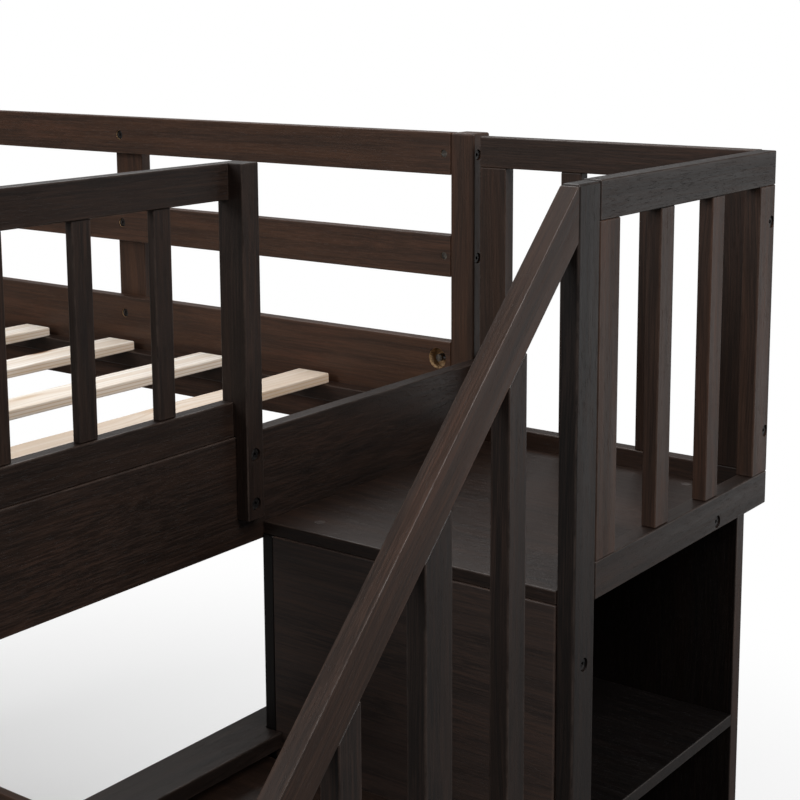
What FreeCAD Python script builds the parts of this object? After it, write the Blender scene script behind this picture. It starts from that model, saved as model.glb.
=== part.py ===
import FreeCAD, Part
import os
import re
import Sketcher
from FreeCAD import Placement, Rotation, Vector

# Bunk bed with a storage staircase. Millimetres, +Z up, the floor at Z = 0.
# X runs along the bed: head end at -X, staircase at +X. Y runs across it: back at +Y.
# The staircase climbs towards the back and stands out in front of the bed.
# The origin is the middle of the footprint, on the floor.

SIZES = {
    # overall
    "overall_tall": 1543,       # top of every guard rail above the floor
    "bed_length": 1974,         # over the outer faces of the two end rails
    "inner_width": 1026,        # between the inner faces of the side rails
    # boards and posts of the bed
    "rail_board": 19,           # thickness of side rails and end rails
    "post_side": 38,            # square corner posts
    "end_rail_tall": 127,
    "side_rail_tall": 145,
    "landing_drop": 411,        # landing, rails and slats below the top of the bed
    "end_rail_drop": 304,
    "side_rail_drop": 286,
    "slat_drop": 353,
    "lower_slat_top": 230,
    "slat_thick": 15,
    "slat_wide": 57,
    "slat_first": 91,           # middle of the first slat from the end rail's outer face
    "slat_end_gap": 12,         # between a slat's end and the side rail
    "ledger_tall": 23,
    "ledger_wide": 25,
    # long guards
    "guard_board_tall": 57,
    "guard_low_drop": 139,      # top of the lower guard rail below the top of the bed
    "mid_post_wide": 57,
    "mid_post_place": 692,      # middle of a mid post from the end rail's outer face
    "mid_post_tall": 380,
    "top_shy": 2,               # posts and panels stop this far below the top of the bed
    # end guards
    "end_guard_tall": 40,
    "guard_set_back": 2,        # end guards stand this far inside the end rail's outer face
    "baluster_wide": 25,
    "baluster_thick": 10,
    "baluster_inset": 3,
    "entry_post_wide": 27,
    "entry_post_lap": 17,       # part of the entry post that laps over the end rail
    "entry_post_tall": 398.5,
    "entry_post_gap": 16,       # entry post to the landing's front edge, along Y
    # lower ends
    "cap_over_tread": 16.5,     # lower end's cap above the highest tread
    "cap_thick": 19,
    "cap_wide": 63.5,
    "cap_overhang": 25.5,       # past the outer face of the end panel
    "end_panel_foot": 240,
    "cap_end_gap": 1,
    # staircase
    "step_run": 286,
    "stair_wide": 388,
    "stair_board": 15,          # treads, shelves and upright fronts
    "stair_back_thick": 20,
    "stair_back_inset": 14,     # stair's back face in front of the corner post's inner face
    "landing_deep": 439,
    "front_proud": 2,           # upright fronts stand proud of the treads' edges
    "base_shelf_up": 40,
    "panel_thick": 21,
    "back_panel_thick": 20,
    "panel_rail_tall": 40,
    "panel_rail_lap": 17,       # bottom rails hang this far below a tread's top
    "stile_wide": 40,
    "panel_baluster_wide": 30,
    "panel_baluster_inset": 2,
    "side_guard_back_gap": 2, # side guard's back edge in front of the corner post's inner face
    "newel_wide": 41,
    "newel_shy": 3,
    "batten_thick": 20,
    # handrail
    "handrail_deep": 40,
    "upright_pair": 0.878,      # a baluster, a post and their gaps take this share of a step's run
    "handrail_past": 35,        # lower end of the handrail past the foot post
    # fasteners
    "bolt_radius": 3,
    "bolt_head_radius": 6.2,
    "bolt_head_tall": 3,
    "bolt_length": 33,
    "rail_bolt_length": 60,     # into the ends of the side rails
    "guard_bolt_length": 49,    # into the ends of the long guard rails
    "hex_key": 2.6,
    "bore_clearance": 0.3,
    "head_clearance": 1,
    "head_sunk": 2,
    "nut_radius": 5,
    "nut_length": 12,
    "rail_nut_sunk": 3.5,       # cross nuts below the rails' inner faces
    "guard_nut_sunk": 1.2,
    "pocket_radius": 14.5,
    "screw_cap_radius": 6,
    "screw_cap_thick": 2,
    # eased edges
    "ease": 1.5,
    "post_ease": 3,
}

SLAT_COUNT = 10
ENTRY_BALUSTERS = 4
HEAD_BALUSTERS = 8
PANEL_BALUSTERS = 2
STEP_COUNT = 4

# Faces and levels that several pieces share.
SHIFT = "(cap_overhang - stair_wide - panel_thick) / 2"
END = f"(bed_length / 2 + {SHIFT})"         # stair-end rail, outer face
HEAD = f"(-bed_length / 2 + {SHIFT})"       # head-end rail, outer face
INNER = "(inner_width / 2)"
OUTER = "(inner_width / 2 + post_side)"
END_RAIL_FOOT = "(end_rail_top - end_rail_tall)"
GUARD_SEAT = "end_rail_top"
GUARD_PLANE = "(rail_board - guard_set_back)"
STAIR_BACK = "(inner_width / 2 - stair_back_inset)"
LANDING_TOP = f"({STEP_COUNT} * step_rise)"
LANDING_FRONT = f"({STAIR_BACK} - landing_deep)"
SIDE_FACE = f"({END} + stair_wide)"
PANEL_FOOT = f"({LANDING_TOP} - panel_rail_lap)"
PANEL_TOP = "(overall_tall - top_shy)"
STAIR_FRONT = f"({LANDING_FRONT} - {STEP_COUNT - 1} * step_run - front_proud)"
BED_MIDDLE = f"(-{STAIR_FRONT} - {OUTER}) / 2"                  # the bed's centre line, along Y
ENTRY_FRONT = f"({LANDING_FRONT} - entry_post_gap - entry_post_wide)"
SLOPE = "(step_rise / step_run)"
HANDRAIL_DROP = "(handrail_deep * sqrt(1 + (step_rise / step_run) ^ 2))"
ENDS = (("stair", END, -1), ("head", HEAD, 1))
SIDES = (("back", 1), ("front", -1))

# Levels that follow from the sizes.
LEVELS_ABOVE_FLOOR = {
    "cap_top": f"{STEP_COUNT - 1} * step_rise + cap_over_tread + cap_thick",
    "step_rise": f"(overall_tall - landing_drop) / {STEP_COUNT}",
    "end_rail_top": "overall_tall - end_rail_drop",
    "side_rail_top": "overall_tall - side_rail_drop",
    "slat_top": "overall_tall - slat_drop",
    "mid_post_foot": "overall_tall - mid_post_tall",
    "entry_post_foot": "overall_tall - entry_post_tall",
}

doc = FreeCAD.newDocument("bunk_bed")
sheet = doc.addObject("Spreadsheet::Sheet", "Sizes")
for row, (alias, value) in enumerate(SIZES.items(), start=1):
    sheet.set(f"A{row}", alias)
    sheet.set(f"B{row}", str(value))
    sheet.setAlias(f"B{row}", alias)
doc.recompute()

ALIAS = re.compile(r"\b(" + "|".join(SIZES) + r")\b")
nodes = []


def bound(formula):
    """The formula with each level worked out and each size's name turned into its cell."""
    text = str(formula)
    for level, follows in LEVELS_ABOVE_FLOOR.items():
        text = re.sub(rf"\b{level}\b", f"({follows})", text)
    return ALIAS.sub(r"Sizes.\1", text)


def bind(thing, **formulas):
    """Tie properties of an object to formulas of the sheet's sizes."""
    for name, formula in formulas.items():
        thing.setExpression(name, bound(formula))


def place(thing, where):
    """Tie an object's position to three formulas, which count Y from the bed's centre line."""
    x, y, z = where
    for letter, formula in zip("xyz", (x, f"{y} + {BED_MIDDLE}", z)):
        thing.setExpression(f"Placement.Base.{letter}", bound(formula))


def keep(thing, label):
    """Name a finished sub-part, which is written out as a node."""
    thing.Label = label
    nodes.append(thing)
    return thing


def body_plane(body, role):
    """One of the body's own origin planes."""
    return next(item for item in body.Origin.OriginFeatures if item.Role == role)


def outline(body, role, points):
    """A closed sketch on an origin plane, every corner tied to a pair of formulas."""
    sketch = body.newObject("Sketcher::SketchObject", "Outline")
    sketch.AttachmentSupport = [(body_plane(body, role), "")]
    sketch.MapMode = "FlatFace"
    count = len(points)
    rough = [Vector(10.0 * i, 7.0 * i * i, 0) for i in range(count)]
    for i in range(count):
        sketch.addGeometry(Part.LineSegment(rough[i], rough[(i + 1) % count]), False)
    for i in range(count):
        sketch.addConstraint(Sketcher.Constraint("Coincident", i, 2, (i + 1) % count, 1))
    for i, corner in enumerate(points):
        for kind, formula in zip(("DistanceX", "DistanceY"), corner):
            spot = sketch.addConstraint(Sketcher.Constraint(kind, -1, 1, i, 1, 10.0 + i))
            sketch.renameConstraint(spot, f"{kind}{i}")
            sketch.setExpression(f"Constraints.{kind}{i}", bound(formula))
    return sketch


def padded(name, role, points, thick, ease):
    """A board: an outline padded to a thickness, with all its edges eased."""
    body = doc.addObject("PartDesign::Body", name)
    pad = body.newObject("PartDesign::Pad", "Pad")
    pad.Profile = outline(body, role, points)
    bind(pad, Length=thick)
    doc.recompute()
    fillet = body.newObject("PartDesign::Fillet", "Ease")
    edges = [f"Edge{i + 1}" for i in range(len(pad.Shape.Edges))]
    fillet.Base = (pad, edges)
    bind(fillet, Radius=ease)
    body.Tip = fillet
    return body


def board(name, low, size, ease="ease"):
    """A straight board from its lowest corner and its three sizes."""
    long, deep, tall = size
    corners = [("0", "0"), (long, "0"), (long, deep), ("0", deep)]
    body = padded(name, "XY_Plane", corners, tall, ease)
    place(body, low)
    return body


def group(label, members):
    """Separate solids that share one node."""
    compound = doc.addObject("Part::Compound", label)
    compound.Links = members
    return keep(compound, label)


def mirrored(low, size, side):
    """The lowest coordinate of a piece on the back side, or of its copy at the front."""
    return low if side > 0 else f"(-({low}) - ({size}))"


def inward(face, offset, size, turn):
    """The lowest X of a piece that starts at an offset inside an end rail's outer face."""
    return f"({face} - ({offset}) - ({size}))" if turn < 0 else f"({face} + ({offset}))"


# ---- fasteners: each bolt bores the boards that it passes through ----

bolt_solids = {"face_bolts": [], "rail_end_bolts": []}
nut_solids = []
bores = {}
TURNS = {
    "+X": Rotation(Vector(0, 1, 0), 90),
    "-X": Rotation(Vector(0, 1, 0), -90),
    "+Y": Rotation(Vector(1, 0, 0), -90),
    "-Y": Rotation(Vector(1, 0, 0), 90),
    "+Z": Rotation(),
    "-Z": Rotation(Vector(1, 0, 0), 180),
}


def rod(name, radius, length, start, way):
    """A round bar from its start point along one of the row's directions."""
    bar = doc.addObject("Part::Cylinder", name)
    bind(bar, Radius=radius, Height=length)
    bar.Placement = Placement(Vector(), TURNS[way])
    place(bar, start)
    return bar


def step_along(start, way, distance):
    """A point moved along one of the row's directions."""
    moved = list(start)
    index = "XYZ".index(way[1])
    moved[index] = f"({start[index]} {way[0]} ({distance}))"
    return moved


def bore(names, radius, length, start, way):
    """A round cutter, listed for every board that it goes through."""
    cutter = rod("bore", radius, length, start, way)
    for name in names:
        bores.setdefault(name, []).append(cutter)


def bolt(family, length, start, way, first, others):
    """A socket-head bolt sunk in the first board, with its bores in every board."""
    seat = step_along(start, way, "head_sunk")
    under = step_along(seat, way, "bolt_head_tall")
    head = rod("bolt_head", "bolt_head_radius", "bolt_head_tall", seat, way)
    shank = rod("bolt_shank", "bolt_radius", length, under, way)
    key = doc.addObject("Part::Prism", "hex_socket")
    key.Polygon = 6
    bind(key, Circumradius="hex_key", Height="bolt_head_tall * 0.7")
    key.Placement = Placement(Vector(), TURNS[way])
    place(key, seat)
    joined = doc.addObject("Part::MultiFuse", "bolt_blank")
    joined.Shapes = [head, shank]
    made = doc.addObject("Part::Cut", "bolt")
    made.Base = joined
    made.Tool = key
    bolt_solids[family].append(made)
    bore([first], "bolt_head_radius + head_clearance", "head_sunk + bolt_head_tall", start, way)
    bore([first] + others, "bolt_radius + bore_clearance", f"{length} + head_sunk + bolt_head_tall + 1",
         start, way)


def face_bolt(start, way, first, others):
    """The common bolt, through one board and into the next."""
    bolt("face_bolts", "bolt_length", start, way, first, others)


# ---- boards wait here until every bore is known ----

blanks = {}
shared_nodes = {}      # boards that are alike and share one node


def piece(name, low, size, ease="ease"):
    """A board that becomes a node of its own."""
    blanks[name] = board(name + "_blank", low, size, ease)


# ---- corner posts ----

for end, face, turn in ENDS:
    for side_name, side in SIDES:
        low = (inward(face, "rail_board", "post_side", turn), mirrored(INNER, "post_side", side), "0")
        piece(f"corner_post_{side_name}_{end}", low, ("post_side", "post_side", "overall_tall"), "post_ease")

# ---- side rails, ledgers, slats and end rails of both bunks ----

SPAN_START = f"({HEAD} + rail_board + post_side)"
SPAN = "(bed_length - 2 * rail_board - 2 * post_side)"
LEVELS = (("upper", "slat_top"), ("lower", "lower_slat_top"))
RAIL_ABOVE_SLATS = "(side_rail_top - slat_top)"

for level, top in LEVELS:
    rail_foot = f"({top} + {RAIL_ABOVE_SLATS} - side_rail_tall)"
    ledger_top = f"({top} - slat_thick)"
    ledgers = []
    for side_name, side in SIDES:
        low = (SPAN_START, mirrored(INNER, "rail_board", side), rail_foot)
        piece(f"{level}_side_rail_{side_name}", low, (SPAN, "rail_board", "side_rail_tall"))
        inside = f"({INNER} - ledger_wide)"
        low = (SPAN_START, mirrored(inside, "ledger_wide", side), f"({ledger_top} - ledger_tall)")
        ledgers.append(board(f"{level}_ledger_{side_name}", low, (SPAN, "ledger_wide", "ledger_tall")))
    group(f"{level}_ledgers", ledgers)
    slats = []
    slat_long = "(inner_width - 2 * slat_end_gap)"
    slat_pitch = f"((bed_length - 2 * slat_first) / {SLAT_COUNT - 1})"
    for index in range(SLAT_COUNT):
        middle = f"({HEAD} + slat_first + {index} * {slat_pitch})"
        low = (f"({middle} - slat_wide / 2)", f"(-{slat_long} / 2)", ledger_top)
        slats.append(board(f"{level}_slat_{index + 1}", low, ("slat_wide", slat_long, "slat_thick")))
    group(f"{level}_slats", slats)

for end, face, turn in ENDS:
    low = (inward(face, "0", "rail_board", turn), f"(-{OUTER})", END_RAIL_FOOT)
    piece(f"upper_end_rail_{end}", low, ("rail_board", f"(2 * {OUTER})", "end_rail_tall"))

# ---- long guards: two rails on each side, carried by two mid posts ----

for side_name, side in SIDES:
    for rail, top in (("top", "overall_tall"), ("low", "(overall_tall - guard_low_drop)")):
        low = (SPAN_START, mirrored(INNER, "rail_board", side), f"({top} - guard_board_tall)")
        piece(f"guard_{rail}_rail_{side_name}", low, (SPAN, "rail_board", "guard_board_tall"))
    for end, face, turn in ENDS:
        outside = f"({INNER} + rail_board)"
        low = (inward(face, "mid_post_place - mid_post_wide / 2", "mid_post_wide", turn),
               mirrored(outside, "rail_board", side), "mid_post_foot")
        tall = "(overall_tall - top_shy - mid_post_foot)"
        piece(f"guard_mid_post_{side_name}_{end}", low, ("mid_post_wide", "rail_board", tall))
    shared_nodes[f"guard_mid_posts_{side_name}"] = [f"guard_mid_post_{side_name}_{end}" for end, _, _ in ENDS]

# ---- end guards: the head end's runs across, the stair end's stops at the entry ----

GUARD_FOOT_TOP = "(end_rail_top + end_guard_tall)"
GUARD_HEAD_FOOT = "(overall_tall - end_guard_tall)"
GUARDS = (
    ("entry_guard", END, -1, f"({ENTRY_FRONT} + {OUTER})", f"({ENTRY_FRONT} + {INNER})", ENTRY_BALUSTERS),
    ("head_guard", HEAD, 1, f"(2 * {OUTER})", f"(2 * {INNER})", HEAD_BALUSTERS),
)
for name, face, turn, long, clear, count in GUARDS:
    low_x = inward(face, "guard_set_back", GUARD_PLANE, turn)
    for rail, foot in (("bottom_rail", GUARD_SEAT), ("top_rail", GUARD_HEAD_FOOT)):
        piece(f"{name}_{rail}", (low_x, f"(-{OUTER})", foot), (GUARD_PLANE, long, "end_guard_tall"))
    gap = f"(({clear} - {count} * baluster_wide) / {count + 1})"
    balusters = []
    for index in range(count):
        low = (inward(face, "guard_set_back + baluster_inset", "baluster_thick", turn),
               f"(-{INNER} + {gap} + {index} * ({gap} + baluster_wide))", GUARD_FOOT_TOP)
        size = ("baluster_thick", "baluster_wide", f"({GUARD_HEAD_FOOT} - {GUARD_FOOT_TOP})")
        balusters.append(board(f"{name}_baluster_{index + 1}", low, size))
    group(f"{name}_balusters", balusters)

# The entry post is full thickness above the end rail and laps over its outer face below.
POST_TALL = "(overall_tall - entry_post_foot)"
LAP_TALL = "(end_rail_top - entry_post_foot)"
POST_THICK = "(rail_board + entry_post_lap)"
blanks["entry_guard_post"] = padded(
    "entry_guard_post_blank", "XZ_Plane",
    [("rail_board", "0"), (POST_THICK, "0"), (POST_THICK, POST_TALL), ("0", POST_TALL),
     ("0", LAP_TALL), ("rail_board", LAP_TALL)],
    "entry_post_wide", "ease")
place(blanks["entry_guard_post"],
      (f"({END} - rail_board)", f"({ENTRY_FRONT} + entry_post_wide)", "entry_post_foot"))

# ---- lower ends: a panel across the posts, with a flat cap board on it ----

PANEL_TALL = "(cap_top - cap_thick - end_panel_foot)"
CAP_LONG = f"(2 * ({INNER} - cap_end_gap))"
for end, face, turn in ENDS:
    low = (inward(face, "0", "rail_board", turn), f"(-{OUTER})", "end_panel_foot")
    piece(f"lower_end_panel_{end}", low, ("rail_board", f"(2 * {OUTER})", PANEL_TALL))

# The stair end's cap is narrow beside the landing, and overhangs in front of it.
NOTCH_START = f"({LANDING_FRONT} - front_proud - cap_end_gap + {CAP_LONG} / 2)"
CAP_BACK = "(cap_wide - cap_overhang)"
blanks["lower_end_cap_stair"] = padded(
    "lower_end_cap_stair_blank", "XY_Plane",
    [("0", "0"), ("cap_wide", "0"), ("cap_wide", NOTCH_START), (CAP_BACK, NOTCH_START),
     (CAP_BACK, CAP_LONG), ("0", CAP_LONG)],
    "cap_thick", "ease")
place(blanks["lower_end_cap_stair"],
      (f"({END} - {CAP_BACK})", f"(-{CAP_LONG} / 2)", "(cap_top - cap_thick)"))
piece("lower_end_cap_head", (f"({HEAD} - cap_overhang)", f"(-{CAP_LONG} / 2)", "(cap_top - cap_thick)"),
      ("cap_wide", CAP_LONG, "cap_thick"))

# ---- staircase: three upright fronts, two treads and the landing, shelves between ----

def step_front(index):
    """Front edge of step 1, 2 or 3, where step 3 is the landing."""
    return f"({LANDING_FRONT} - {STEP_COUNT - index} * step_run)"


def step_top(index):
    """Top of step 1, 2 or 3."""
    return f"({index} * step_rise)"


STEP_NAMES = ("first_tread", "second_tread", "third_tread", "landing")
for index, name in enumerate(STEP_NAMES, start=1):
    front = step_front(index)
    front_y = f"({front} - front_proud)"
    under = f"({step_top(index)} - stair_board)"
    low = (f"({END} + stair_board)", front_y, "0")
    piece(f"{name}_front", low, ("(stair_wide - stair_board)", "stair_board", under))
    deep = "landing_deep" if index == STEP_COUNT else "(step_run - front_proud)"
    long = "stair_wide"
    piece(f"{name}_board", (END, front, under), (long, deep, "stair_board"))

CUBBY_X = f"({END} + stair_board)"
CUBBY_WIDE = "(stair_wide - stair_board)"
shelves = []
for index in range(1, STEP_COUNT + 1):
    start = f"({step_front(index)} - front_proud + stair_board)"
    last = f"({STAIR_BACK} - stair_back_thick)" if index == STEP_COUNT else \
        f"({step_front(index + 1)} - front_proud)"
    deep = f"({last} - {start})"
    feet = ["base_shelf_up"] + [f"({step_top(level)} - stair_board)" for level in range(1, index)]
    for level, foot in enumerate(feet):
        shelves.append(board(f"shelf_{index}_{level}", (CUBBY_X, start, foot),
                             (CUBBY_WIDE, deep, "stair_board")))
group("stair_shelves", shelves)

piece("stair_back_board", (CUBBY_X, f"({STAIR_BACK} - stair_back_thick)", "0"),
      (CUBBY_WIDE, "stair_back_thick", f"({LANDING_TOP} - stair_board)"))

# The stepped side stands against the bed.
side_points = []
for index in range(1, STEP_COUNT + 1):
    across = f"({step_front(index)} - front_proud - {step_front(1)} + front_proud)"
    down = "0" if index == 1 else f"({step_top(index - 1)} - stair_board)"
    side_points.append((across, down))
    side_points.append((across, f"({step_top(index)} - stair_board)"))
side_points.append((f"({STAIR_BACK} - {step_front(1)} + front_proud)", f"({LANDING_TOP} - stair_board)"))
side_points.append((f"({STAIR_BACK} - {step_front(1)} + front_proud)", "0"))
blanks["stair_inner_side"] = padded("stair_inner_side_blank", "YZ_Plane", side_points, "stair_board", "ease")
place(blanks["stair_inner_side"], (END, f"({step_front(1)} - front_proud)", "0"))

# ---- newel, batten behind it, and the guards round the landing ----

NEWEL_TOP = "(overall_tall - newel_shy)"
piece("newel_post", (SIDE_FACE, LANDING_FRONT, "0"), ("panel_thick", "newel_wide", NEWEL_TOP), "post_ease")
piece("newel_batten", (f"({SIDE_FACE} - batten_thick)", f"({LANDING_FRONT} - front_proud + stair_board)",
                       step_top(STEP_COUNT - 1)),
      ("batten_thick", "newel_wide", f"({LANDING_TOP} - stair_board - {step_top(STEP_COUNT - 1)})"))

SIDE_START = f"({LANDING_FRONT} + newel_wide)"
SIDE_LONG = f"({INNER} - side_guard_back_gap - {SIDE_START})"
PANEL_BALUSTER_FOOT = f"({PANEL_FOOT} + panel_rail_tall)"
PANEL_BALUSTER_TOP = f"({PANEL_TOP} - panel_rail_tall)"


def landing_guard(name, start_x, start_y, long, thick, along):
    """A guard panel: two rails, a stile at each end and balusters between."""
    def spread(offset, size, foot, top, depth, inset):
        low_x = f"({start_x} + {offset})" if along == "X" else f"({start_x} + {inset})"
        low_y = f"({start_y} + {inset})" if along == "X" else f"({start_y} + {offset})"
        tall = f"({top} - {foot})"
        return (low_x, low_y, foot), ((size, depth, tall) if along == "X" else (depth, size, tall))

    for rail, foot in (("bottom_rail", PANEL_FOOT), ("top_rail", PANEL_BALUSTER_TOP)):
        low, size = spread("0", long, foot, f"({foot} + panel_rail_tall)", thick, "0")
        piece(f"{name}_{rail}", low, size)
    slim = f"({thick} - 2 * panel_baluster_inset)"
    gap = (f"(({long} - 2 * stile_wide - {PANEL_BALUSTERS} * panel_baluster_wide)"
           f" / {PANEL_BALUSTERS + 1})")
    uprights = []
    for index, offset in enumerate(("0", f"({long} - stile_wide)"), start=1):
        low, size = spread(offset, "stile_wide", PANEL_BALUSTER_FOOT, PANEL_BALUSTER_TOP, thick, "0")
        uprights.append((f"{name}_stile_{index}", low, size))
    for index in range(PANEL_BALUSTERS):
        offset = f"(stile_wide + {gap} + {index} * ({gap} + panel_baluster_wide))"
        low, size = spread(offset, "panel_baluster_wide", PANEL_BALUSTER_FOOT, PANEL_BALUSTER_TOP,
                           slim, "panel_baluster_inset")
        uprights.append((f"{name}_baluster_{index + 1}", low, size))
    for label, low, size in uprights:
        piece(label, low, size)
    shared_nodes[f"{name}_uprights"] = [label for label, low, size in uprights]


landing_guard("side_guard", SIDE_FACE, SIDE_START, SIDE_LONG, "panel_thick", "Y")
landing_guard("landing_back_guard", END, STAIR_BACK, "stair_wide", "back_panel_thick", "X")

# ---- handrail: uprights cut to the slope stand on a side rail along each tread ----

HANDRAIL_TOP = NEWEL_TOP
UPRIGHT_GAP = "((upright_pair * step_run - panel_baluster_wide - newel_wide) / 2)"
TREADS = list(enumerate(STEP_NAMES[:-1], start=1))
for index, name in TREADS:
    low = (SIDE_FACE, step_front(index), f"({step_top(index)} - panel_rail_lap)")
    piece(f"{name}_side_rail", low, ("panel_thick", "step_run", "panel_rail_tall"))
shared_nodes["tread_side_rails"] = [f"{name}_side_rail" for index, name in TREADS]


def under_handrail(y):
    """Height of the handrail's underside at a place along the stair."""
    return f"({HANDRAIL_TOP} - {HANDRAIL_DROP} - {SLOPE} * ({LANDING_FRONT} - ({y})))"


front = LANDING_FRONT
balusters, posts = [], []
for index, name in reversed(TREADS):
    foot = f"({step_top(index)} - panel_rail_lap + panel_rail_tall)"
    for wide, family in (("panel_baluster_wide", balusters), ("newel_wide", posts)):
        back = f"({front} - {UPRIGHT_GAP})"
        front = f"({back} - {wide})"
        tops = [f"({under_handrail(edge)} - {foot})" for edge in (front, back)]
        upright = padded(f"{name}_upright", "YZ_Plane",
                         [("0", "0"), (wide, "0"), (wide, tops[1]), ("0", tops[0])], "panel_thick", "ease")
        place(upright, (SIDE_FACE, front, foot))
        family.append(upright)
group("handrail_balusters", balusters)
group("handrail_posts", posts)

RAIL_RUN = f"({LANDING_FRONT} - {front} + handrail_past)"
blanks["handrail"] = padded(
    "handrail_blank", "YZ_Plane",
    [("0", f"(-{HANDRAIL_DROP} - {SLOPE} * {RAIL_RUN})"), (RAIL_RUN, f"(-{HANDRAIL_DROP})"),
     (RAIL_RUN, "0"), ("0", f"(-{SLOPE} * {RAIL_RUN})")],
    "panel_thick", "ease")
place(blanks["handrail"], (SIDE_FACE, f"({LANDING_FRONT} - {RAIL_RUN})", HANDRAIL_TOP))

# ---- bolts ----

WAY_IN = {"stair": "-X", "head": "+X"}
RAIL_BOLT = ("rail_bolt_length", "pocket_radius", "rail_nut_sunk")
GUARD_BOLT = ("guard_bolt_length", "nut_radius + bore_clearance", "guard_nut_sunk")
for end, face, turn in ENDS:
    way = WAY_IN[end]
    post_face = f"({face} - rail_board)" if turn < 0 else f"({face} + rail_board)"
    for side_name, side in SIDES:
        post = f"corner_post_{side_name}_{end}"
        rail_y = f"({side} * ({INNER} + rail_board / 2))"
        post_y = f"({side} * ({INNER} + post_side / 2))"
        rails = [
            (f"upper_side_rail_{side_name}", "(side_rail_top - 25)", RAIL_BOLT),
            (f"lower_side_rail_{side_name}", f"(lower_slat_top + {RAIL_ABOVE_SLATS} - 25)", RAIL_BOLT),
            (f"guard_top_rail_{side_name}", "(overall_tall - guard_board_tall / 2)", GUARD_BOLT),
            (f"guard_low_rail_{side_name}", "(overall_tall - guard_low_drop - guard_board_tall / 2)",
             GUARD_BOLT),
        ]
        for rail, middle, (length, wide, sunk) in rails:
            start = (post_face, rail_y, middle)
            bolt("rail_end_bolts", length, start, way, post, [rail])
            # The cross nut sits on the bolt's tip, in a hole from the rail's inner face.
            reach = f"bolt_head_tall + head_sunk + {length} - nut_radius"
            at = step_along(start, way, reach)
            mouth = f"({side} * {INNER})"
            into = "+Y" if side > 0 else "-Y"
            nut_face = (at[0], f"({mouth} + {side} * {sunk})", middle)
            nut = rod("cross_nut", "nut_radius", "nut_length", nut_face, into)
            thread = rod("nut_thread", "bolt_radius + bore_clearance", "30",
                         step_along((at[0], rail_y, middle), way, "-15"), way)
            bored_nut = doc.addObject("Part::Cut", "bored_nut")
            bored_nut.Base = nut
            bored_nut.Tool = thread
            nut_solids.append(bored_nut)
            bore([rail], wide, f"nut_length + {sunk} + 0.5", (at[0], mouth, middle), into)
        # end rail and lower end panel to the post
        for middle in ("(end_rail_top - 20)", f"({END_RAIL_FOOT} + 30)"):
            face_bolt((face, post_y, middle), way, f"upper_end_rail_{end}", [post])
        for middle in ("(cap_top - cap_thick - 40)", "(end_panel_foot + 40)"):
            face_bolt((face, post_y, middle), way, f"lower_end_panel_{end}", [post])

# end guards to the posts
for name, end, sides in (("entry_guard", "stair", (-1,)), ("head_guard", "head", (-1, 1))):
    face, way = (END, "-X") if end == "stair" else (HEAD, "+X")
    start_x = f"({face} - guard_set_back)" if end == "stair" else f"({face} + guard_set_back)"
    for side in sides:
        post = f"corner_post_{'back' if side > 0 else 'front'}_{end}"
        post_y = f"({side} * ({INNER} + post_side / 2 + 4))"
        for rail, foot in (("bottom_rail", GUARD_SEAT), ("top_rail", GUARD_HEAD_FOOT)):
            face_bolt((start_x, post_y, f"({foot} + end_guard_tall / 2)"), way, f"{name}_{rail}", [post])

# entry post to the end rail
for middle in ("(end_rail_top - 20)", "(end_rail_top - 76.5)"):
    face_bolt((f"({END} + entry_post_lap)", f"({ENTRY_FRONT} + entry_post_wide / 2)", middle), "-X",
              "entry_guard_post", ["upper_end_rail_stair"])

# long guards and side rails to the mid posts
for side_name, side in SIDES:
    for end, face, turn in ENDS:
        middle_x = f"({face} + ({turn}) * mid_post_place)"
        for rail, level in ((f"guard_top_rail_{side_name}", "(overall_tall - guard_board_tall / 2)"),
                            (f"guard_low_rail_{side_name}",
                             "(overall_tall - guard_low_drop - guard_board_tall / 2)"),
                            (f"upper_side_rail_{side_name}", "(side_rail_top - 27)")):
            face_bolt((middle_x, f"({side} * {INNER})", level), "+Y" if side > 0 else "-Y",
                      rail, [f"guard_mid_post_{side_name}_{end}"])

# newel, landing side guard and tread side rails to the staircase
OUT_FACE = f"({SIDE_FACE} + panel_thick)"
STAIR_BOLTS = (
    ("newel_post", f"({LANDING_FRONT} + newel_wide / 2)", f"({LANDING_TOP} - 79)", ["newel_batten"]),
    ("side_guard_bottom_rail", f"({SIDE_START} + 279)", f"({LANDING_TOP} - stair_board / 2)", ["landing_board"]),
    *(("side_guard_stile_2", f"({STAIR_BACK} + 3.7)", f"({LANDING_TOP} + {up})", ["landing_back_guard_stile_2"])
      for up in (74, 326)),
    *((f"{name}_side_rail", f"({step_front(index)} + {along})", f"({step_top(index)} - stair_board / 2)",
       [f"{name}_board"]) for index, name in TREADS for along in ("40", "step_run - 40")),
)
for first, y, level, others in STAIR_BOLTS:
    face_bolt((OUT_FACE, y, level), "-X", first, others)

# ---- screw caps let into the landing and the treads ----

caps = []
for index, name in enumerate(STEP_NAMES, start=1):
    deep = "landing_deep" if index == STEP_COUNT else "step_run"
    for across, along in (("56", "33"), ("(stair_wide - 65)", f"({deep} - 28)")):
        spot = (f"({END} + {across})", f"({step_front(index)} + {along})", f"({step_top(index)} + 0.4)")
        caps.append(rod("screw_cap", "screw_cap_radius", "screw_cap_thick", spot, "-Z"))
        bore([f"{name}_board"], "screw_cap_radius + 0.1", "screw_cap_thick", spot, "-Z")

# ---- cut the bores, then name every node ----

for name, blank in blanks.items():
    if name in bores:
        cutters = bores[name][0]
        if len(bores[name]) > 1:
            cutters = doc.addObject("Part::MultiFuse", f"{name}_bores")
            cutters.Shapes = bores[name]
        cut = doc.addObject("Part::Cut", name)
        cut.Base = blank
        cut.Tool = cutters
        blanks[name] = cut
for name, members in shared_nodes.items():
    group(name, [blanks.pop(member) for member in members])
for name, finished in blanks.items():
    keep(finished, name)

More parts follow.
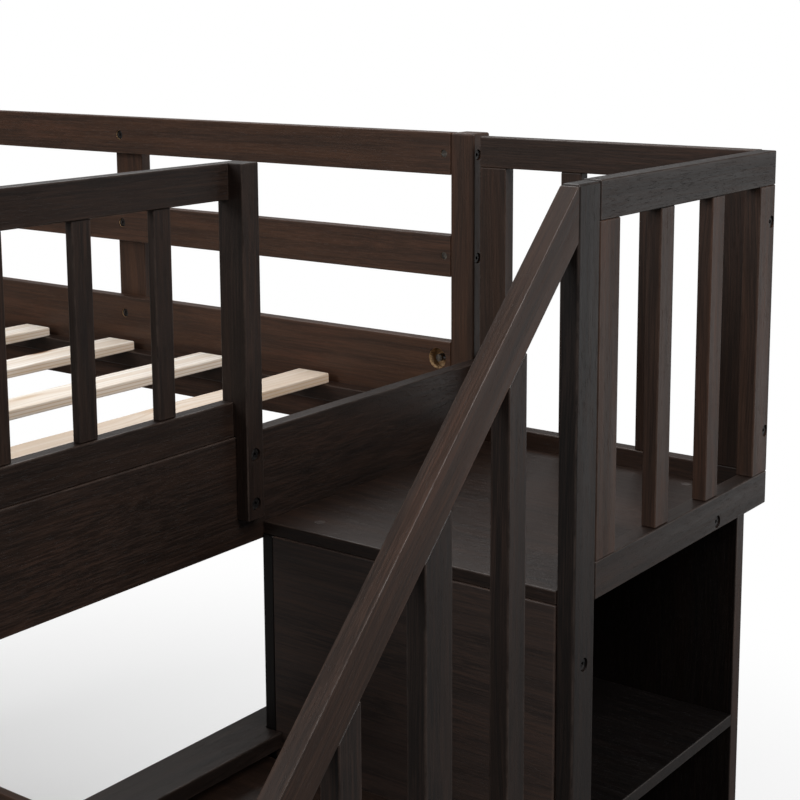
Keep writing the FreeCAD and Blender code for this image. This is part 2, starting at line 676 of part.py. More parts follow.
for family, solids in bolt_solids.items():
    group(family, solids)
group("cross_nuts", nut_solids)
group("screw_caps", caps)

doc.recompute()

faults = [item.Name for item in doc.Objects if {"Invalid", "Error"} & set(item.State)]
if faults:
    raise RuntimeError("failed objects: " + ", ".join(faults[:20]))
for node in nodes:
    if node.Shape.isNull() or not node.Shape.isValid():
        raise RuntimeError("bad shape: " + node.Label)

os.makedirs("parts", exist_ok=True)
for node in nodes:
    node.Shape.exportStep(f"parts/{node.Label}.step")
print(len(nodes), "nodes written")
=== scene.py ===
import logging
import math
from dataclasses import dataclass, field
from enum import Enum

import bpy
import numpy as np
from mathutils import Euler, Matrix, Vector


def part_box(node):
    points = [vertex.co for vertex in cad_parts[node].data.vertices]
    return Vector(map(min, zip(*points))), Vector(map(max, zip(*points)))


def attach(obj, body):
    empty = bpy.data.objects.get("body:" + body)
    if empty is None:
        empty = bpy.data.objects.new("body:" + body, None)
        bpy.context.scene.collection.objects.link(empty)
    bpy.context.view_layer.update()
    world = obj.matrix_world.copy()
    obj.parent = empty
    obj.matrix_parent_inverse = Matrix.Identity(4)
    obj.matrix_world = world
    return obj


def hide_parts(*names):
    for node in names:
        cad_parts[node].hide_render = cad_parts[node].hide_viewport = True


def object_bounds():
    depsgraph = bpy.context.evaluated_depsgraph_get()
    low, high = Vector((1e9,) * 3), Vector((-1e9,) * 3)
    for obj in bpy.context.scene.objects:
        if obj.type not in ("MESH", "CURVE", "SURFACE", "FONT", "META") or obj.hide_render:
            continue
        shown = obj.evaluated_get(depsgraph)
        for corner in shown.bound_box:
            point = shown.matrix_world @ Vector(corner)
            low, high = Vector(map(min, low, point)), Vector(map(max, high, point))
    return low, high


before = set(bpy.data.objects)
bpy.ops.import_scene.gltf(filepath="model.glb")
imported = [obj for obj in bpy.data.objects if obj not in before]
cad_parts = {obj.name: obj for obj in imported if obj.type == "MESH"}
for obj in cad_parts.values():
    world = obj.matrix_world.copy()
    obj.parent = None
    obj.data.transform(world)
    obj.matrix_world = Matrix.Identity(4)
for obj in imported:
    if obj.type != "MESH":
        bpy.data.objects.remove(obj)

CAD_LOW, CAD_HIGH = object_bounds()
LOG = logging.getLogger("bunk_bed")
WHITE = (1.0, 1.0, 1.0, 1.0)


def write_layers(mesh: bpy.types.Mesh, layers: dict) -> None:
    """Store vectors on a mesh, one for each vertex.

    Args:
        mesh: the mesh that carries them.
        layers: attribute name to an array with a row of three numbers for each vertex.
    """
    for name, rows in layers.items():
        layer = mesh.attributes.new(name, "FLOAT_VECTOR", "POINT")
        layer.data.foreach_set("vector", rows.astype(np.float32).ravel())


class Grain(Enum):
    """The way that a board's grain runs in the row frame."""

    ALONG_BED = (0, 1, 2)
    ACROSS_BED = (1, 0, 2)
    UPRIGHT = (2, 0, 1)
    UP_THE_STAIR = (9, 9, 9)


class Value:
    """One shader socket, with the sums that its numbers are used in."""

    def __init__(self, nodes: "NodeTree", socket: bpy.types.NodeSocket) -> None:
        """Wrap an output socket of a node tree."""
        self.nodes = nodes
        self.socket = socket

    def sum_node(self, operation: str, *terms: object) -> "Value":
        """Add a Math node.

        Args:
            operation: the Math node's operation.
            terms: its inputs in order, values or numbers.

        Returns:
            The node's result.
        """
        return self.nodes.node("ShaderNodeMath", {"operation": operation}, dict(enumerate(terms)))

    def __add__(self, other: object) -> "Value":
        """Sum."""
        return self.sum_node("ADD", self, other)

    def __radd__(self, other: object) -> "Value":
        """Sum, number first."""
        return self.sum_node("ADD", other, self)

    def __sub__(self, other: object) -> "Value":
        """Difference."""
        return self.sum_node("SUBTRACT", self, other)

    def __rsub__(self, other: object) -> "Value":
        """Difference, number first."""
        return self.sum_node("SUBTRACT", other, self)

    def __mul__(self, other: object) -> "Value":
        """Product."""
        return self.sum_node("MULTIPLY", self, other)

    def __rmul__(self, other: object) -> "Value":
        """Product, number first."""
        return self.sum_node("MULTIPLY", other, self)

    def __pow__(self, other: object) -> "Value":
        """Power."""
        return self.sum_node("POWER", self, other)

    def least(self, other: object) -> "Value":
        """The smaller of two values."""
        return self.sum_node("MINIMUM", self, other)

    def most(self, other: object) -> "Value":
        """The larger of two values."""
        return self.sum_node("MAXIMUM", self, other)

    def sine(self) -> "Value":
        """Sine of the value."""
        return self.sum_node("SINE", self)

    def spread(self, low: float, high: float, start: float = 0.0, end: float = 1.0) -> "Value":
        """Carry a range of this value smoothly on to another range.

        Args:
            low: the value that gives start.
            high: the value that gives end.
            start: the result at low and below.
            end: the result at high and above.

        Returns:
            The new value.
        """
        settings = {"interpolation_type": "SMOOTHSTEP"}
        return self.nodes.node("ShaderNodeMapRange", settings,
                               {"Value": self, "From Min": low, "From Max": high,
                                "To Min": start, "To Max": end})


class NodeTree:
    """A node tree whose nodes all come from one method."""

    def __init__(self, tree: bpy.types.NodeTree) -> None:
        """Take a tree to add nodes to."""
        self.tree = tree

    def node(self, kind: str, settings: dict, inputs: dict, output: object = 0) -> Value:
        """Add any node.

        Args:
            kind: the node's type.
            settings: its properties, which are set first.
            inputs: socket name or number to a value, a number or a tuple.
            output: name or number of the socket to return.

        Returns:
            The chosen output.
        """
        made = self.tree.nodes.new(kind)
        for key, setting in settings.items():
            setattr(made, key, setting)
        for key, given in inputs.items():
            self.feed(made.inputs[key], given)
        return Value(self, made.outputs[output])

    def feed(self, socket: bpy.types.NodeSocket, given: object) -> None:
        """Link a value to a socket, or set a number on it.

        Args:
            socket: the input to fill.
            given: a value to link, or a number or tuple to set.
        """
        if isinstance(given, Value):
            self.tree.links.new(given.socket, socket)
        else:
            socket.default_value = given

    def first(self, kind: str) -> bpy.types.Node:
        """The first node of a type."""
        return next(node for node in self.tree.nodes if node.type == kind)


class Shader(NodeTree):
    """A material that ends in a Principled shader."""

    def __init__(self, name: str) -> None:
        """Make an empty material of this name."""
        self.material = bpy.data.materials.new(name)
        self.material.use_nodes = True
        super().__init__(self.material.node_tree)
        self.surface = self.first("BSDF_PRINCIPLED")

    @staticmethod
    def opaque(colour: object) -> object:
        """A plain colour with its alpha added, or a value as it is."""
        return (*colour, 1.0) if isinstance(colour, tuple) else colour

    def attribute(self, name: str) -> Value:
        """A vector that the mesh carries under this name."""
        return self.node("ShaderNodeAttribute", {"attribute_name": name}, {}, "Vector")

    def parts(self, vector: Value) -> list[Value]:
        """The three numbers of a vector."""
        outputs = self.node("ShaderNodeSeparateXYZ", {}, {0: vector}).socket.node.outputs
        return [Value(self, output) for output in outputs]

    def vector(self, x: object, y: object, z: object) -> Value:
        """A vector from three numbers."""
        return self.node("ShaderNodeCombineXYZ", {}, {0: x, 1: y, 2: z})

    def noise(self, place: Value, scale: float, detail: float = 3.0, rough: float = 0.55) -> Value:
        """Soft noise between 0 and 1 at a place."""
        return self.node("ShaderNodeTexNoise", {"noise_dimensions": "3D"},
                         {"Vector": place, "Scale": scale, "Detail": detail, "Roughness": rough})

    def mix(self, share: object, first: object, second: object) -> Value:
        """A colour between two colours."""
        inputs = {0: share, 6: self.opaque(first), 7: self.opaque(second)}
        return self.node("ShaderNodeMix", {"data_type": "RGBA"}, inputs, 2)

    def bump(self, height: Value, depth: float, strength: float = 1.0) -> Value:
        """A normal bent by a height map, depth in metres."""
        inputs = {"Height": height, "Distance": depth, "Strength": strength}
        return self.node("ShaderNodeBump", {}, inputs)

    def finish(self, **sockets: object) -> bpy.types.Material:
        """Set the Principled shader's sockets.

        Args:
            sockets: socket name, with _ for a space, to a value, a number or a colour.

        Returns:
            The finished material.
        """
        for key, given in sockets.items():
            self.feed(self.surface.inputs[key.replace("_", " ")], self.opaque(given))
        return self.material


@dataclass(frozen=True)
class EspressoStain:
    """Pine under a nearly black brown stain and a satin lacquer, its grain along the board."""

    name: str = "espresso_stain"
    deep: tuple = (0.0040, 0.0029, 0.0026)
    body: tuple = (0.0088, 0.0060, 0.0050)
    warm: tuple = (0.0240, 0.0138, 0.0100)
    worn: tuple = (0.0620, 0.0450, 0.0370)
    tint: tuple = (0.0860, 0.0395, 0.0215)
    flame: tuple = (0.0820, 0.0320, 0.0190)
    # near-black colour of the painted shade on inner faces
    shade: tuple = (0.0012, 0.0009, 0.0009)
    bare: tuple = (0.46, 0.31, 0.17)
    bare_dark: tuple = (0.27, 0.16, 0.080)
    gloss_rough: float = 0.42
    specular: float = 0.30
    # share of painted shade on faces that look neither along +X nor along +Y; 0 paints none
    inner_shade: float = 0.0
    ring_scale: float = 60.0
    fibre_scale: float = 460.0
    pore_scale: float = 1500.0
    grain_depth: float = 0.00030

    def material(self) -> bpy.types.Material:
        """Build the stain.

        The board's own place (along, across, through, in metres) is read from "board_place",
        its size from "board_size" and a number of its own from "board_mark". Long stretched
        noise gives the growth rings and fibres, short dark dashes give the pores, and the
        distance to the nearest edge gives the rubbed arrises. Faces that look neither along +X
        nor along +Y are darkened by inner_shade towards the shade colour: painted shade.

        Returns:
            The material.
        """
        s = Shader(self.name)
        place, size = s.attribute("board_place"), s.attribute("board_size")
        mark, warmth, bored = s.parts(s.attribute("board_mark"))
        along, across, through = s.parts(place)
        long, wide, thick = s.parts(size)
        shift = mark * 37.0
        wander = s.noise(s.vector(along * 1.6 + shift, across * 5.0, through * 5.0), 1.0, 2.0)
        bent = across + (wander - 0.5) * 0.05
        ring_place = s.vector(along * 1.5 + shift, bent * self.ring_scale,
                              through * self.ring_scale)
        rings = s.noise(ring_place, 1.0, 5.0, 0.65)
        fibre_place = s.vector(along * 11.0 + shift, bent * self.fibre_scale,
                               through * self.fibre_scale)
        fibres = s.noise(fibre_place, 1.0, 4.0, 0.75)
        pore_place = s.vector(along * 60.0 + shift, bent * self.pore_scale,
                              through * self.pore_scale)
        pores = s.noise(pore_place, 1.0, 2.0)
        cloud = s.noise(s.vector(along * 3.0 + shift, across * 9.0, through * 9.0), 1.0, 3.0)
        streak = rings.spread(0.36, 0.68)
        fine = fibres.spread(0.40, 0.66)
        dark_pore = pores.spread(0.60, 0.72)
        colour = s.mix(streak, self.deep, self.body)
        colour = s.mix(fine * (0.30 + cloud.spread(0.30, 0.70) * 0.6), colour, self.warm)
        colour = s.mix(dark_pore * 0.55, colour, self.deep)
        gaps = [along.least(long - along), across.least(wide - across),
                through.least(thick - through)]
        inner = gaps[0].most(gaps[1].least(gaps[2])).least(gaps[1].most(gaps[2]))
        rub = s.noise(s.vector(along * 28.0 + shift, across * 60.0, through * 60.0), 1.0, 4.0, 0.7)
        edge = (1 - inner.spread(0.0004, 0.0030)) * rub.spread(0.30, 0.66)
        colour = s.mix(edge * 0.5, colour, self.worn)
        end_grain = 1 - gaps[0].spread(0.0002, 0.0012)
        colour = s.mix(end_grain * 0.4, colour, self.deep)
        glow = warmth * (0.30 + streak * 0.35 + fine * 0.25)
        colour = s.mix(glow, colour, self.tint)
        flame = streak * fine * cloud.spread(0.42, 0.66) * warmth * 0.75
        colour = s.mix(flame, colour, self.flame)
        # painted shade: faces that look neither along +X nor along +Y are darkened towards the
        # near-black shade colour, by the share inner_shade
        facing = s.parts(s.node("ShaderNodeNewGeometry", {}, {}, "Normal"))
        painted_shade_mask = 1 - facing[0].most(facing[1]).spread(0.5, 0.9)
        colour = s.mix(painted_shade_mask * self.inner_shade, colour, self.shade)
        cut = gaps[0].least(gaps[1]).least(gaps[2]).spread(0.0007, 0.0016) * bored
        colour = s.mix(cut, colour, s.mix(fine, self.bare, self.bare_dark))
        rough = self.gloss_rough + (cloud - 0.5) * 0.20 + fine * 0.10
        rough = rough - streak * 0.06 - edge * 0.08 + dark_pore * 0.14
        height = fibres * 0.5 + rings * 0.6 - dark_pore * 0.8
        normal = s.bump(height, self.grain_depth, 0.6)
        return s.finish(Base_Color=colour, Roughness=rough, Normal=normal,
                        Specular_IOR_Level=self.specular)


@dataclass(frozen=True)
class RawPine:
    """Planed pine left bare, with growth rings, a few knots and layered edges."""

    name: str = "raw_pine"
    pale: tuple = (0.78, 0.66, 0.54)
    cream: tuple = (0.95, 0.90, 0.83)
    honey: tuple = (0.52, 0.37, 0.25)
    ring: tuple = (0.50, 0.30, 0.14)
    knot: tuple = (0.17, 0.075, 0.030)

    def material(self) -> bpy.types.Material:
        """Build the bare pine from the board's own place, as the stain is.

        Returns:
            The material.
        """
        s = Shader(self.name)
        along, across, through = s.parts(s.attribute("board_place"))
        wide = s.parts(s.attribute("board_size"))[1]
        mark = s.parts(s.attribute("board_mark"))[0]
        shift = mark * 53.0
        warp = s.noise(s.vector(along * 2.2 + shift, across * 7.0, through * 7.0), 1.0, 2.0)
        knot_place = s.vector(along * 3.1 + shift, across * 14.0 + shift, through * 6.0)
        cells = s.node("ShaderNodeTexVoronoi", {"feature": "F1"},
                       {"Vector": knot_place, "Scale": 1.0}, "Distance")
        near_knot = 1 - cells.spread(0.03, 0.40)
        bent = across + (warp - 0.5) * 0.045 + near_knot * 0.008
        rings = (bent * 620.0 + warp * 9.0 + shift).sine() * 0.5 + 0.5
        soft = s.noise(s.vector(along * 2.0 + shift, bent * 60.0, through * 60.0), 1.0, 3.0)
        fibre_place = s.vector(along * 22.0 + shift, bent * 900.0, through * 900.0)
        fibres = s.noise(fibre_place, 1.0, 3.0, 0.7)
        layers = (through * 1250.0 + warp * 3.0).sine() * 0.5 + 0.5
        colour = s.mix(soft.spread(0.30, 0.70), self.pale, self.cream)
        colour = s.mix((mark * 7.0).sine().spread(0.2, 1.0) * 0.45, colour, self.honey)
        colour = s.mix(rings.spread(0.62, 1.0) * soft.spread(0.25, 0.8) * 0.42, colour, self.ring)
        colour = s.mix(fibres.spread(0.50, 0.80) * 0.18, colour, self.ring)
        gap = across.least(wide - across)
        colour = s.mix((1 - gap.spread(0.0005, 0.0016)) * 0.40, colour, self.honey)
        on_edge = 1 - gap.spread(0.0006, 0.0020)
        colour = s.mix(layers.spread(0.60, 1.0) * on_edge * 0.55, colour, self.ring)
        heart = 1 - cells.spread(0.035, 0.085)
        halo = 1 - cells.spread(0.05, 0.16)
        colour = s.mix(halo * 0.55, colour, self.ring)
        colour = s.mix(heart, colour, self.knot)
        rough = 0.62 + fibres * 0.14 - heart * 0.18
        normal = s.bump(fibres * 0.6 + rings * 0.35 - heart * 0.5, 0.00030, 0.6)
        return s.finish(Base_Color=colour, Roughness=rough, Normal=normal, Specular_IOR_Level=0.35)


@dataclass(frozen=True)
class Steel:
    """A small steel part under paint, black oxide or zinc, with rubbed high spots."""

    name: str
    colour: tuple
    bright: tuple
    rough: float
    metallic: float

    def material(self) -> bpy.types.Material:
        """Build the steel from noise on Object coordinates.

        Returns:
            The material.
        """
        s = Shader(self.name)
        place = s.node("ShaderNodeTexCoord", {}, {}, "Object")
        broad = s.noise(place, 180.0, 3.0)
        fine = s.noise(place, 1400.0, 2.0)
        rub = broad.spread(0.42, 0.70)
        colour = s.mix(rub * 0.55, self.colour, self.bright)
        rough = self.rough + (fine - 0.5) * 0.20 + rub * 0.06
        normal = s.bump(fine * 0.6 + broad * 0.4, 0.00008, 0.5)
        return s.finish(Base_Color=colour, Roughness=rough, Normal=normal, Metallic=self.metallic)


@dataclass(frozen=True)
class CapFilm:
    """The printed film of a screw cap, close to the stain but a little paler and flatter."""

    name: str = "screw_cap_film"
    dark: tuple = (0.020, 0.014, 0.012)
    light: tuple = (0.062, 0.044, 0.038)

    def material(self) -> bpy.types.Material:
        """Build the film: a fine printed grain along the bed.

        Returns:
            The material.
        """
        s = Shader(self.name)
        x, y, z = s.parts(s.node("ShaderNodeTexCoord", {}, {}, "Object"))
        grain = s.noise(s.vector(x * 90.0, y * 900.0, z * 300.0), 1.0, 3.0)
        speck = s.noise(s.vector(x, y, z), 2600.0, 2.0)
        colour = s.mix(grain.spread(0.3, 0.7), self.dark, self.light)
        normal = s.bump(speck + grain * 0.5, 0.00005, 0.4)
        return s.finish(Base_Color=colour, Roughness=0.46 + (speck - 0.5) * 0.12, Normal=normal)


@dataclass
class BoardMarks:
    """Gives every board of a CAD node its own place, size and mark for the wood finishes."""

    grain: Grain
    slope: float = 0.0
    seed: int = 1
    warmth: float | None = None
    bored: bool = False

    def turned_axes(self) -> np.ndarray:
        """Rows are the board's along, across and through directions in the row frame."""
        if self.grain is Grain.UP_THE_STAIR:
            c, s = math.cos(self.slope), math.sin(self.slope)
            return np.array([[0.0, c, s], [0.0, -s, c], [1.0, 0.0, 0.0]])
        return np.eye(3)[list(self.grain.value)]

    @staticmethod
    def islands(points: np.ndarray, faces: np.ndarray) -> np.ndarray:
        """Number the separate solids of a triangle mesh.

        Args:
            points: vertex places, one row each.
            faces: vertex numbers, three to a row.

        Returns:
            One label for each vertex, the same all over a solid. Corners at one place are first
            taken as one, then the lowest label spreads over each triangle until none changes.
        """
        keys = np.round(points * 1e5).astype(np.int64)
        _, same = np.unique(keys, axis=0, return_inverse=True)
        same = same.reshape(-1)
        label = np.arange(same.max() + 1)
        corners = same[faces]
        while True:
            lowest = label[corners].min(axis=1)
            new = label.copy()
            for corner in corners.T:
                np.minimum.at(new, corner, lowest)
            new = new[new]
            if np.array_equal(new, label):
                return label[same]
            label = new

    def apply(self, thing: bpy.types.Object) -> int:
        """Write the marks on to an object's mesh.

        Args:
            thing: the object, whose vertices stay as they are.

        Returns:
            How many boards it holds.
        """
        mesh = thing.data
        count = len(mesh.vertices)
        points = np.empty(count * 3)
        mesh.vertices.foreach_get("co", points)
        points = points.reshape(-1, 3)
        mesh.calc_loop_triangles()
        faces = np.empty(len(mesh.loop_triangles) * 3, dtype=np.int32)
        mesh.loop_triangles.foreach_get("vertices", faces)
        labels = self.islands(points, faces.reshape(-1, 3))
        own = points @ self.turned_axes().T
        names, which = np.unique(labels, return_inverse=True)
        which = which.reshape(-1)
        low = np.full((len(names), 3), 1e9)
        high = np.full((len(names), 3), -1e9)
        np.minimum.at(low, which, own)
        np.maximum.at(high, which, own)
        rng = np.random.default_rng(self.seed)
        marks = rng.random(len(names))
        flip = rng.random(len(names)) < 0.5
        place = own - low[which]
        size = (high - low)[which]
        place[:, 0] = np.where(flip[which], size[:, 0] - place[:, 0], place[:, 0])
        warmth = (rng.random(len(names)) ** 2 if self.warmth is None
                  else np.full(len(names), self.warmth))
        bored = np.full(len(names), float(self.bored))
        mark = np.stack([marks, warmth, bored], axis=1)[which]
        write_layers(mesh, {"board_place": place, "board_size": size, "board_mark": mark})
        return len(names)


@dataclass
class StainedWood:
    """Every stained board of the bed and the staircase, each with its grain along its length."""

    stair_slope: float = math.atan2(0.283, 0.286)
    slot: str = "espresso_wood"
    across: tuple = ("upper_end_rail", "guard_bottom_rail", "guard_top_rail", "lower_end_cap",
                     "lower_end_panel", "side_guard_bottom", "side_guard_top", "tread_side_rails")
    upright: tuple = ("corner_post", "guard_mid_posts", "_balusters", "guard_post", "newel",
                      "_uprights", "handrail_posts", "stair_back_board", "stair_inner_side")
    batches: dict = field(default_factory=lambda: {
        "carcass": ("stair_inner_side", "stair_back_board", "stair_shelves"),
        "riser": ("landing_front", "tread_front")})
    stains: dict = field(default_factory=lambda: {
        "frame": EspressoStain(),
        # carcass: the same stain with painted shade darkening the faces that look neither along +X
        # nor along +Y
        "carcass": EspressoStain("carcass_stain_painted_shade", inner_shade=0.80),
        # riser: the stain painted lighter and greyer, a painted sheen on the fronts of the landing
        # and the treads
        "riser": EspressoStain("riser_stain_painted_sheen", deep=(0.0150, 0.0140, 0.0143),
                               body=(0.0330, 0.0300, 0.0298), warm=(0.0640, 0.0450, 0.0375))})
    with_bores: tuple = ("side_rail_back", "side_rail_front", "guard_top_rail_", "guard_low_rail_")
    warm: dict = field(default_factory=lambda: {
        "upper_side_rail": 1.0, "guard_top_rail_": 1.0, "guard_low_rail_": 1.0, "guard_mid": 1.0,
        "corner_post_back_stair": 0.85, "upper_end_rail": 0.15, "newel": 0.0,
        "side_guard_top": 0.05, "side_guard_bottom": 0.1, "side_guard_uprights": 0.5,
        "landing_board": 0.25, "landing_back_guard": 0.4, "lower_side_rail_back": 1.0,
        "tread_board": 0.2, "handrail_": 0.1, "handrail": 0.4, "landing_front": 0.4,
        "tread_front": 0.4, "front": 0.0, "entry_guard": 0.15})

    def grain_of(self, node: str) -> Grain:
        """Choose a node's grain from its name and its size.

        Args:
            node: the CAD node's name.

        Returns:
            The way that its grain runs.
        """
        if node == "handrail":
            return Grain.UP_THE_STAIR
        if node.startswith("landing_back_guard") and "rail" in node:
            return Grain.ALONG_BED
        if any(word in node for word in self.upright):
            return Grain.UPRIGHT
        low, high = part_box(node)
        spans = [high[i] - low[i] for i in range(3)]
        if any(word in node for word in self.across) and spans[1] > spans[0]:
            return Grain.ACROSS_BED
        return Grain.ALONG_BED

    def stain_of(self, node: str) -> str:
        """Choose the batch of stain that a node has from its name; the carcass batch adds painted
        shade to inner faces and the riser batch is painted lighter and greyer as a sheen.

        Args:
            node: the CAD node's name.

        Returns:
            The batch's key.
        """
        keys = (key for key, words in self.batches.items() if any(word in node for word in words))
        return next(keys, "frame")

    def dress(self, nodes: dict) -> None:
        """Mark and finish each stained node.

        Args:
            nodes: node name to object.
        """
        finishes = {key: stain.material() for key, stain in self.stains.items()}
        for seed, (name, thing) in enumerate(sorted(nodes.items()), start=11):
            warmth = next((share for word, share in self.warm.items() if word in name), None)
            bored = any(word in name for word in self.with_bores)
            marks = BoardMarks(self.grain_of(name), self.stair_slope, seed, warmth, bored)
            boards = marks.apply(thing)
            thing.data.materials.clear()
            thing.data.materials.append(finishes[self.stain_of(name)])
            LOG.info("%s: %d boards, %s", name, boards, self.grain_of(name).name)


@dataclass
class SlatRack:
    """A bunk's row of bare pine slats, one mesh, in the place of the plain CAD slats."""

    node: str
    count: int = 10
    width: float = 0.057
    corner: float = 0.0022
    stations: int = 60
    seed: int = 5
    unevenness: float = 0.00022
    wave_numbers: tuple = (3.1, 7.7, 13.0)
    slot: str = "raw_pine"

    def outline(self) -> np.ndarray:
        """A slat's cross-section, as shares of its width and thickness.

        A rounded rectangle: each quarter is an arc about a corner point set in by the
        rounding, and the four quarters follow each other round the section.

        Returns:
            Rows of two numbers, anticlockwise, and the outline's points are not repeated.
        """
        low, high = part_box(self.node)
        half = np.array([self.width / 2, (high[2] - low[2]) / 2])
        turn = np.linspace(0, math.pi / 2, 5)
        rows = []
        for quarter, (sx, sz) in enumerate(((1, 1), (-1, 1), (-1, -1), (1, -1))):
            angle = turn + quarter * math.pi / 2
            centre = (half - self.corner) * np.array([sx, sz])
            rows.append(centre + self.corner * np.stack([np.cos(angle), np.sin(angle)], axis=1))
        return np.concatenate(rows)

    def stations_along(self, length: float) -> tuple[np.ndarray, np.ndarray]:
        """Space the sections along a slat.

        Close to each end the section shrinks as a quarter circle: at a distance d from the end,
        less than the rounding r, it is pulled in by r - sqrt(r^2 - (r - d)^2).

        Args:
            length: the slat's length.

        Returns:
            The places along the slat, and how far the section is pulled in at each.
        """
        ends = self.corner * (1 - np.cos(np.linspace(0, math.pi / 2, 5)))
        middle = np.linspace(ends[-1], length - ends[-1], self.stations)[1:-1]
        along = np.concatenate([ends, middle, length - ends[::-1]])
        inset = np.minimum(along, length - along)
        left = np.maximum(self.corner - inset, 0)
        return along, self.corner - np.sqrt(np.maximum(self.corner ** 2 - left ** 2, 0))

    def pulled_in(self, along: np.ndarray, shy: np.ndarray, rng: np.random.Generator) -> np.ndarray:
        """Add a planed edge's unevenness to the rounding.

        It is the size of a sum of three sines, a few tenths of a millimetre, so that a slat only
        ever gets slimmer.

        Args:
            along: the places along the slat.
            shy: how far the section is pulled in at each.
            rng: the rack's random numbers.

        Returns:
            How far each section is pulled in in all, one row each.
        """
        wander = rng.normal(size=3) * self.unevenness
        phase = rng.random(3) * 6.28
        wave = np.sin(along[:, None] * np.array(self.wave_numbers) + phase) @ np.abs(wander)
        return (shy + np.abs(wave))[:, None]

    @staticmethod
    def slat_faces(rows: int, around: int, base: int) -> list:
        """Join the sections of a slat with quads and close its ends.

        Args:
            rows: how many sections.
            around: how many points in each.
            base: the number of its first vertex.

        Returns:
            The faces as lists of vertex numbers.
        """
        row, column = np.meshgrid(np.arange(rows - 1), np.arange(around), indexing="ij")
        following = (column + 1) % around
        quads = np.stack([row * around + column, (row + 1) * around + column,
                          (row + 1) * around + following, row * around + following], axis=-1)
        first = np.arange(around) + base
        last = np.arange(around)[::-1] + base + (rows - 1) * around
        return (quads.reshape(-1, 4) + base).tolist() + [first.tolist(), last.tolist()]

    def build(self, finish: bpy.types.Material) -> bpy.types.Object:
        """Carry the section along each slat, a little inwards of the CAD slat.

        Args:
            finish: the bare pine.

        Returns:
            The rack as one object.
        """
        low, high = (np.array(corner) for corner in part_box(self.node))
        length, thick = high[1] - low[1], high[2] - low[2]
        section = self.outline()
        rng = np.random.default_rng(self.seed)
        along, shy = self.stations_along(length)
        rows, around = len(along), len(section)
        pitch = (high[0] - low[0] - self.width) / (self.count - 1)
        verts, faces, places, sizes, marks = [], [], [], [], []
        for index in range(self.count):
            pull = self.pulled_in(along, shy, rng)
            middle = low[0] + self.width / 2 + index * pitch
            x = middle + section[None, :, 0] * (1 - pull / (self.width / 2))
            z = (low[2] + high[2]) / 2 + section[None, :, 1] * (1 - pull / (thick / 2))
            y = np.repeat((low[1] + along)[:, None], around, axis=1)
            grid = np.stack([x, y, z], axis=-1).reshape(-1, 3)
            faces.extend(self.slat_faces(rows, around, index * rows * around))
            verts.append(grid)
            places.append(np.stack([grid[:, 1] - low[1], grid[:, 0] - middle + self.width / 2,
                                    grid[:, 2] - low[2]], axis=1))
            sizes.append(np.tile([length, self.width, thick], (len(grid), 1)))
            marks.append(np.full((len(grid), 3), rng.random()))
        mesh = bpy.data.meshes.new(self.node + "_planed")
        mesh.from_pydata(np.concatenate(verts).tolist(), [], faces)
        write_layers(mesh, {"board_place": np.concatenate(places),
                            "board_size": np.concatenate(sizes),
                            "board_mark": np.concatenate(marks)})
        mesh.materials.append(finish)
        mesh.update()
        thing = bpy.data.objects.new(self.node + "_planed", mesh)
        bpy.context.scene.collection.objects.link(thing)
        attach(thing, "root")
        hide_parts(self.node)
        LOG.info("%s: %d slats", thing.name, self.count)
        return thing


def black_steel(name: str) -> Steel:
    """Steel under black oxide."""
    return Steel(name, (0.020, 0.019, 0.019), (0.11, 0.10, 0.095), 0.38, 0.75)


@dataclass
class SmallParts:
    """Bolts, cross nuts and screw caps, which keep their CAD shapes."""

    finishes: dict = field(default_factory=lambda: {
        "face_bolts": ("black_steel", black_steel("black_bolt_steel")),
        "rail_end_bolts": ("black_steel", black_steel("black_rail_bolt_steel")),
        "cross_nuts": ("zinc_steel", Steel("dark_nut_steel", (0.060, 0.055, 0.050),
                                           (0.30, 0.28, 0.25), 0.36, 0.90)),
        "screw_caps": ("screw_cap", CapFilm())})

    def dress(self, nodes: dict) -> None:
        """Finish each small part's node.

        Args:
            nodes: node name to object.
        """
        for name, (slot, finish) in self.finishes.items():
            nodes[name].data.materials.clear()
            nodes[name].data.materials.append(finish.material())
            LOG.info("%s finished", name)


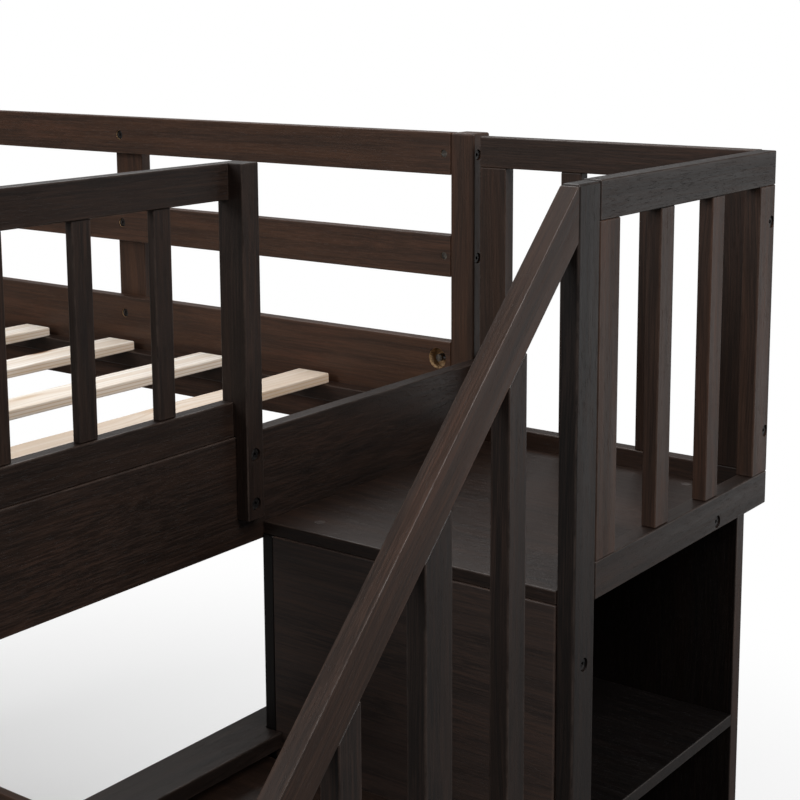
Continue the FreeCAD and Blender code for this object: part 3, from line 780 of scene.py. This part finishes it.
@dataclass
class Studio:
    """A pale floor, a soft white surround, four area lights and the camera."""

    lens: float = 72.93
    lift: float = -0.15
    place: tuple = (1.98268, -1.14400, 1.70056)
    azimuth: float = 36.7405
    pitch: float = 9.3323
    roll: float = -0.27
    fill: float = 0.17
    fade_start: float = 1.1
    fade_end: float = 2.9

    def floor(self) -> None:
        """Lay a wide pale floor that turns to the surround's white away from the bed."""
        steps = np.linspace(-30.0, 30.0, 3)
        x, y = np.meshgrid(steps, steps, indexing="ij")
        verts = np.stack([x, y, np.full_like(x, CAD_LOW[2] - 0.0005)], axis=-1).reshape(-1, 3)
        faces = [(0, 3, 4, 1), (1, 4, 5, 2), (3, 6, 7, 4), (4, 7, 8, 5)]
        mesh = bpy.data.meshes.new("studio_floor")
        mesh.from_pydata(verts.tolist(), [], faces)
        s = Shader("studio_floor_paint")
        x_place, y_place, _ = s.parts(s.node("ShaderNodeTexCoord", {}, {}, "Object"))
        away = (x_place * x_place + y_place * y_place) ** 0.5
        paint = s.finish(Base_Color=(0.90, 0.90, 0.90), Roughness=0.8)
        glow = s.node("ShaderNodeEmission", {}, {"Color": WHITE, "Strength": 1.0})
        blend = s.node("ShaderNodeMixShader", {}, {0: away.spread(self.fade_start, self.fade_end),
                                                   1: Value(s, s.surface.outputs[0]), 2: glow})
        s.feed(s.first("OUTPUT_MATERIAL").inputs["Surface"], blend)
        mesh.materials.append(paint)
        thing = bpy.data.objects.new("studio_floor", mesh)
        thing.visible_diffuse = False
        thing.visible_glossy = False
        bpy.context.scene.collection.objects.link(thing)

    def surround(self) -> None:
        """Fill the world with even white light."""
        world = bpy.data.worlds.new("white_surround")
        bpy.context.scene.world = world
        world.use_nodes = True
        nodes = NodeTree(world.node_tree)
        seen = nodes.node("ShaderNodeLightPath", {}, {}, "Is Camera Ray")
        strength = nodes.node("ShaderNodeMapRange", {},
                              {"Value": seen, "To Min": self.fill, "To Max": 1.0}, "Result")
        back = nodes.first("BACKGROUND")
        nodes.feed(back.inputs["Color"], WHITE)
        nodes.feed(back.inputs["Strength"], strength)

    def light(self, name: str, where: tuple, aim: tuple, size: float, power: float) -> None:
        """Hang a square area light.

        Args:
            name: the light's name.
            where: its place.
            aim: the point that it faces.
            size: its side.
            power: its watts.
        """
        lamp = bpy.data.lights.new(name, "AREA")
        lamp.size = size
        lamp.energy = power
        thing = bpy.data.objects.new(name, lamp)
        thing.location = where
        thing.visible_camera = False
        thing.rotation_euler = (Vector(where) - Vector(aim)).to_track_quat("Z", "Y").to_euler()
        bpy.context.scene.collection.objects.link(thing)

    def camera(self) -> None:
        """Stand the camera in front of the staircase, at the height of the guards."""
        data = bpy.data.cameras.new("studio_camera")
        data.sensor_width = 36.0
        data.lens = self.lens
        data.shift_y = self.lift
        data.clip_start, data.clip_end = 0.05, 60.0
        thing = bpy.data.objects.new("studio_camera", data)
        thing.rotation_mode = "XYZ"
        look = Euler((math.radians(90 - self.pitch), 0.0, math.radians(self.azimuth)), "XYZ")
        spin = Euler((0.0, 0.0, math.radians(self.roll)), "XYZ")
        thing.rotation_euler = (look.to_matrix() @ spin.to_matrix()).to_euler("XYZ")
        thing.location = self.place
        bpy.context.scene.collection.objects.link(thing)
        bpy.context.scene.camera = thing

    def build(self) -> None:
        """Set the whole studio up."""
        self.floor()
        self.surround()
        self.light("key_light", (3.7, -0.3, 3.9), (0.8, 0.2, 1.2), 2.0, 135.0)
        self.light("side_panel", (3.0, 3.1, 1.15), (1.2, 0.3, 1.2), 2.2, 11.0)
        self.light("front_light", (-1.4, -4.2, 3.6), (0.2, 0.2, 1.1), 2.4, 112.0)
        self.light("top_light", (-0.8, 1.8, 4.4), (0.2, 0.2, 1.2), 2.8, 92.0)
        self.camera()
        bpy.context.scene.view_settings.view_transform = "Standard"


def main() -> None:
    """Build and dress every piece and set the studio up."""
    logging.basicConfig(level=logging.INFO, format="%(message)s")
    nodes = dict(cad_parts)
    small = SmallParts()
    pine = RawPine().material()
    for bunk in ("upper_slats", "lower_slats"):
        SlatRack(bunk, seed=5 if bunk == "upper_slats" else 9).build(pine)
        nodes.pop(bunk)
    small.dress(nodes)
    stained = {name: thing for name, thing in nodes.items() if name not in small.finishes}
    StainedWood().dress(stained)
    Studio().build()


if __name__ == "__main__":
    main()
